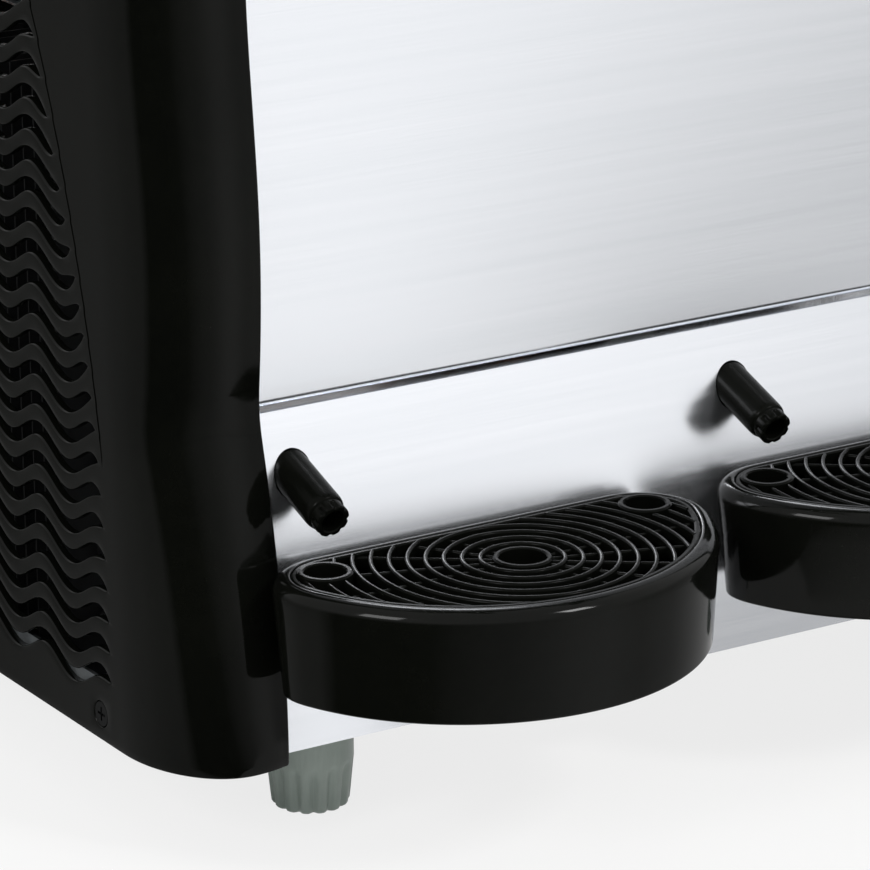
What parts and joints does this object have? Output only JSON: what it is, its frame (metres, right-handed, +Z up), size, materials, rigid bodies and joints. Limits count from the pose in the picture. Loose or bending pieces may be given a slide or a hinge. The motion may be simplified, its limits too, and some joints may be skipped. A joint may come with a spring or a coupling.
{
  "type": "slush machine",
  "caption": "Counter-top slush machine with clear bowls over freezing drums, levered taps, drip trays with ring grilles and a louvred cabinet with a brushed steel front.",
  "frame": {"origin": "on the counter under the middle of the machine", "axes": "+X to the right seen from the front, +Y from the front to the back, +Z up"},
  "size_m": [0.4, 0.4764, 0.753],
  "materials": {
    "black_plastic": "moulded, glossy, fine scuffs",
    "switch_plastic": "moulded, glossy",
    "green_plastic": "moulded, glossy",
    "brushed_steel": "horizontal brushed grain",
    "zinc_sheet": "plain zinc-coated sheet",
    "screw_steel": "turned and bright",
    "grey_plastic": "moulded, matt",
    "clear_plastic": "clear polycarbonate",
    "white_plastic": "food-grade moulding, satin",
    "hose_rubber": "food-grade silicone",
    "black_rubber": "matt",
    "black_enamel": "black enamel",
    "motor_paint": "grey paint",
    "fin_aluminium": "black stove paint over aluminium",
    "copper": "drawn copper tube"
  },
  "bodies": {
    "cabinet": {"base_pan": "zinc_sheet", "chassis_posts": "zinc_sheet", "front_panel_lower": "brushed_steel", "front_panel_upper": "brushed_steel", "side_panel_left": "black_plastic", "side_panel_right": "black_plastic", "rear_panel": "zinc_sheet", "top_deck": "black_plastic", "control_fascia": "black_plastic", "bulkhead": "brushed_steel", "motor_cover": "black_plastic", "panel_screws": "black_enamel", "mains_inlet": "switch_plastic", "drain_spouts": "black_plastic", "drain_hoses": "hose_rubber", "compressor": "black_enamel", "compressor_mounts": "black_rubber", "condenser": "fin_aluminium", "fan_shroud": "black_enamel", "fan_motor": "motor_paint", "filter_drier": "copper", "refrigerant_pipes": "copper", "freezing_drums": "brushed_steel", "bowl_gaskets": "hose_rubber", "gear_motors": "motor_paint", "switch_bodies": "switch_plastic"},
    "foot_front_left": {"foot_front_left": "grey_plastic"},
    "foot_front_right": {"foot_front_right": "grey_plastic"},
    "foot_rear_left": {"foot_rear_left": "grey_plastic"},
    "foot_rear_right": {"foot_rear_right": "grey_plastic"},
    "fan": {"fan_blade": "fin_aluminium"},
    "auger_left_body": {"drive_shaft_left": "screw_steel", "auger_left": "white_plastic", "auger_cap_left": "black_plastic"},
    "bowl_left_body": {"bowl_left": "clear_plastic", "tap_barrel_left": "clear_plastic", "tap_cap_left": "black_plastic", "tap_spring_left": "screw_steel", "tap_pin_left": "screw_steel"},
    "tap_piston_left_body": {"tap_piston_left": "white_plastic"},
    "tap_lever_left_body": {"tap_lever_left": "black_plastic"},
    "lid_left_body": {"lid_left": "black_plastic"},
    "drip_tray_left_body": {"drip_tray_left": "black_plastic"},
    "drip_grille_left_body": {"drip_grille_left": "black_plastic"},
    "auger_right_body": {"drive_shaft_right": "screw_steel", "auger_right": "white_plastic", "auger_cap_right": "black_plastic"},
    "bowl_right_body": {"bowl_right": "clear_plastic", "tap_barrel_right": "clear_plastic", "tap_cap_right": "black_plastic", "tap_spring_right": "screw_steel", "tap_pin_right": "screw_steel"},
    "tap_piston_right_body": {"tap_piston_right": "white_plastic"},
    "tap_lever_right_body": {"tap_lever_right": "black_plastic"},
    "lid_right_body": {"lid_right": "black_plastic"},
    "drip_tray_right_body": {"drip_tray_right": "black_plastic"},
    "drip_grille_right_body": {"drip_grille_right": "black_plastic"},
    "rocker_left_body": {"rocker_left": "switch_plastic"},
    "rocker_power_body": {"rocker_power": "green_plastic"},
    "rocker_right_body": {"rocker_right": "switch_plastic"}
  },
  "joints": [
    {"name": "foot_front_left_turn", "type": "hinge", "parent": "cabinet", "child": "foot_front_left", "pos_m": [-0.13, -0.107, 0.02], "axis": [0, 0, 1], "continuous": true},
    {"name": "foot_front_right_turn", "type": "hinge", "parent": "cabinet", "child": "foot_front_right", "pos_m": [0.13, -0.107, 0.02], "axis": [0, 0, 1], "continuous": true},
    {"name": "foot_rear_left_turn", "type": "hinge", "parent": "cabinet", "child": "foot_rear_left", "pos_m": [-0.13, 0.193, 0.02], "axis": [0, 0, 1], "continuous": true},
    {"name": "foot_rear_right_turn", "type": "hinge", "parent": "cabinet", "child": "foot_rear_right", "pos_m": [0.13, 0.193, 0.02], "axis": [0, 0, 1], "continuous": true},
    {"name": "fan_spin", "type": "hinge", "parent": "cabinet", "child": "fan", "pos_m": [-0.13, 0.06, 0.1485], "axis": [1, 0, 0], "continuous": true},
    {"name": "auger_left_spin", "type": "hinge", "parent": "cabinet", "child": "auger_left_body", "pos_m": [-0.0885, 0, 0.51], "axis": [0, 1, 0], "continuous": true},
    {"name": "bowl_left_slide", "type": "slide", "parent": "cabinet", "child": "bowl_left_body", "axis": [0, -1, 0], "range_m": [0, 0.3]},
    {"name": "tap_lever_left_press", "type": "hinge", "parent": "bowl_left_body", "child": "tap_lever_left_body", "pos_m": [-0.0885, -0.2, 0.498], "axis": [1, 0, 0], "range_deg": [0, 22], "stiffness_Nm_per_rad": 0.8, "springref_deg": -17.19},
    {"name": "tap_piston_left_lift", "type": "slide", "parent": "bowl_left_body", "child": "tap_piston_left_body", "axis": [0, 0, 1], "range_m": [0, 0.0096], "deforming": ["tap_spring_left"]},
    {"name": "lid_left_lift", "type": "slide", "parent": "bowl_left_body", "child": "lid_left_body", "axis": [0, 0, 1], "range_m": [0, 0.12]},
    {"name": "drip_tray_left_slide", "type": "slide", "parent": "cabinet", "child": "drip_tray_left_body", "axis": [0, -1, 0], "range_m": [0, 0.12]},
    {"name": "drip_grille_left_lift", "type": "slide", "parent": "drip_tray_left_body", "child": "drip_grille_left_body", "axis": [0, 0, 1], "range_m": [0, 0.0065]},
    {"name": "auger_right_spin", "type": "hinge", "parent": "cabinet", "child": "auger_right_body", "pos_m": [0.0885, 0, 0.51], "axis": [0, 1, 0], "continuous": true},
    {"name": "bowl_right_slide", "type": "slide", "parent": "cabinet", "child": "bowl_right_body", "axis": [0, -1, 0], "range_m": [0, 0.3]},
    {"name": "tap_lever_right_press", "type": "hinge", "parent": "bowl_right_body", "child": "tap_lever_right_body", "pos_m": [0.0885, -0.2, 0.498], "axis": [1, 0, 0], "range_deg": [0, 22], "stiffness_Nm_per_rad": 0.8, "springref_deg": -17.19},
    {"name": "tap_piston_right_lift", "type": "slide", "parent": "bowl_right_body", "child": "tap_piston_right_body", "axis": [0, 0, 1], "range_m": [0, 0.0096], "deforming": ["tap_spring_right"]},
    {"name": "lid_right_lift", "type": "slide", "parent": "bowl_right_body", "child": "lid_right_body", "axis": [0, 0, 1], "range_m": [0, 0.12]},
    {"name": "drip_tray_right_slide", "type": "slide", "parent": "cabinet", "child": "drip_tray_right_body", "axis": [0, -1, 0], "range_m": [0, 0.12]},
    {"name": "drip_grille_right_lift", "type": "slide", "parent": "drip_tray_right_body", "child": "drip_grille_right_body", "axis": [0, 0, 1], "range_m": [0, 0.0065]},
    {"name": "rocker_left_tilt", "type": "hinge", "parent": "cabinet", "child": "rocker_left_body", "pos_m": [-0.042, -0.116, 0.392], "axis": [1, 0, 0], "range_deg": [-10, 10]},
    {"name": "rocker_power_tilt", "type": "hinge", "parent": "cabinet", "child": "rocker_power_body", "pos_m": [0, -0.116, 0.392], "axis": [1, 0, 0], "range_deg": [0, 20]},
    {"name": "rocker_right_tilt", "type": "hinge", "parent": "cabinet", "child": "rocker_right_body", "pos_m": [0.042, -0.116, 0.392], "axis": [1, 0, 0], "range_deg": [-10, 10]}
  ],
  "couplings": [
    {"joint": "tap_piston_left_lift", "follows": "tap_lever_left_press", "m_per_rad": 0.0247},
    {"joint": "tap_piston_right_lift", "follows": "tap_lever_right_press", "m_per_rad": 0.0247}
  ]
}
